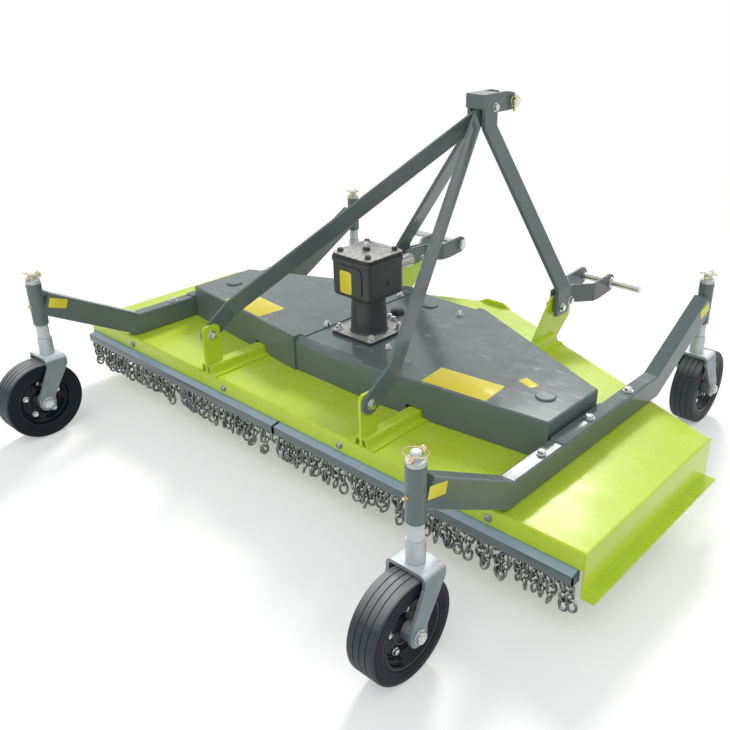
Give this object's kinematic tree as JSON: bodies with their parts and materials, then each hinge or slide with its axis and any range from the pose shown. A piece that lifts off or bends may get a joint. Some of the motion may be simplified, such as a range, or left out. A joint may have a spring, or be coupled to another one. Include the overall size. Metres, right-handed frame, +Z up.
{
  "type": "finishing mower",
  "caption": "Rear finishing mower for a three-point hitch: green deck with chain guard, dark belt covers, gearbox, A-frame mast and caster wheels.",
  "frame": {"origin": "on the floor, midway between the front and rear caster stems and on the machine's middle plane", "axes": "+X to the machine's right, +Y forward toward the tractor, +Z up"},
  "size_m": [1.834, 1.51, 0.88],
  "materials": {
    "green_paint": "gloss",
    "grey_paint": "gloss",
    "black_cast": "satin",
    "galvanised": "galvanised",
    "zinc": "zinc plated",
    "chain_steel": "zinc plated",
    "bare_steel": "machined",
    "blade_steel": "satin",
    "tyre": "matte",
    "black_rim": "satin"
  },
  "bodies": {
    "frame": {"deck": "green_paint", "gearbox_stand": "grey_paint", "gearbox_housing": "black_cast", "gearbox_cap": "black_cast", "top_bracket": "grey_paint", "top_link_pin": "zinc", "side_skirt_left": "green_paint", "side_skirt_right": "green_paint", "deck_channel_left": "green_paint", "deck_channel_right": "green_paint", "chain_rail_left": "grey_paint", "chain_rail_right": "grey_paint", "chains_left": "chain_steel", "chains_right": "chain_steel", "belt_cover_left": "grey_paint", "belt_cover_right": "grey_paint", "mast_leg_left": "grey_paint", "mast_leg_right": "grey_paint", "rear_strut_left": "grey_paint", "rear_strut_right": "grey_paint", "link_bracket_left": "grey_paint", "link_bracket_right": "grey_paint", "lower_pin_left": "zinc", "lower_pin_right": "zinc", "caster_arm_left": "grey_paint", "caster_arm_right": "grey_paint", "spindle_housing_left": "black_cast", "spindle_housing_centre": "black_cast", "spindle_housing_right": "black_cast"},
    "caster_front_left": {"fork_front_left": "galvanised"},
    "wheel_front_left": {"tyre_front_left": "tyre", "rim_front_left": "black_rim"},
    "caster_front_right": {"fork_front_right": "galvanised"},
    "wheel_front_right": {"tyre_front_right": "tyre", "rim_front_right": "black_rim"},
    "caster_rear_left": {"fork_rear_left": "galvanised"},
    "wheel_rear_left": {"tyre_rear_left": "tyre", "rim_rear_left": "black_rim"},
    "caster_rear_right": {"fork_rear_right": "galvanised"},
    "wheel_rear_right": {"tyre_rear_right": "tyre", "rim_rear_right": "black_rim"},
    "rotor_left": {"blade_left": "blade_steel"},
    "rotor_centre": {"blade_centre": "blade_steel"},
    "rotor_right": {"blade_right": "blade_steel"},
    "drive_shaft": {"input_shaft": "bare_steel"}
  },
  "joints": [
    {"name": "swivel_front_left", "type": "hinge", "parent": "frame", "child": "caster_front_left", "pos_m": [-0.677, 0.602, 0.376], "axis": [0, 0, 1], "continuous": true},
    {"name": "spin_front_left", "type": "hinge", "parent": "caster_front_left", "child": "wheel_front_left", "pos_m": [-0.677, 0.647, 0.108], "axis": [1, 0, 0], "continuous": true},
    {"name": "swivel_front_right", "type": "hinge", "parent": "frame", "child": "caster_front_right", "pos_m": [0.677, 0.602, 0.376], "axis": [0, 0, 1], "continuous": true},
    {"name": "spin_front_right", "type": "hinge", "parent": "caster_front_right", "child": "wheel_front_right", "pos_m": [0.677, 0.647, 0.108], "axis": [1, 0, 0], "continuous": true},
    {"name": "swivel_rear_left", "type": "hinge", "parent": "frame", "child": "caster_rear_left", "pos_m": [-0.677, -0.602, 0.376], "axis": [0, 0, 1], "continuous": true},
    {"name": "spin_rear_left", "type": "hinge", "parent": "caster_rear_left", "child": "wheel_rear_left", "pos_m": [-0.677, -0.647, 0.108], "axis": [1, 0, 0], "continuous": true},
    {"name": "swivel_rear_right", "type": "hinge", "parent": "frame", "child": "caster_rear_right", "pos_m": [0.677, -0.602, 0.376], "axis": [0, 0, 1], "continuous": true},
    {"name": "spin_rear_right", "type": "hinge", "parent": "caster_rear_right", "child": "wheel_rear_right", "pos_m": [0.677, -0.647, 0.108], "axis": [1, 0, 0], "continuous": true},
    {"name": "blade_spin_left", "type": "hinge", "parent": "frame", "child": "rotor_left", "pos_m": [-0.578, -0.027, 0.15], "axis": [0, 0, 1], "continuous": true},
    {"name": "blade_spin_centre", "type": "hinge", "parent": "frame", "child": "rotor_centre", "pos_m": [0, 0.24, 0.15], "axis": [0, 0, 1], "continuous": true},
    {"name": "blade_spin_right", "type": "hinge", "parent": "frame", "child": "rotor_right", "pos_m": [0.578, -0.027, 0.15], "axis": [0, 0, 1], "continuous": true},
    {"name": "input_spin", "type": "hinge", "parent": "frame", "child": "drive_shaft", "pos_m": [0, 0.1, 0.4635], "axis": [0, 1, 0], "continuous": true}
  ],
  "couplings": [
    {"joint": "blade_spin_left", "follows": "blade_spin_centre", "ratio": 1},
    {"joint": "blade_spin_right", "follows": "blade_spin_centre", "ratio": 1},
    {"joint": "input_spin", "follows": "blade_spin_centre", "ratio": 0.2}
  ]
}
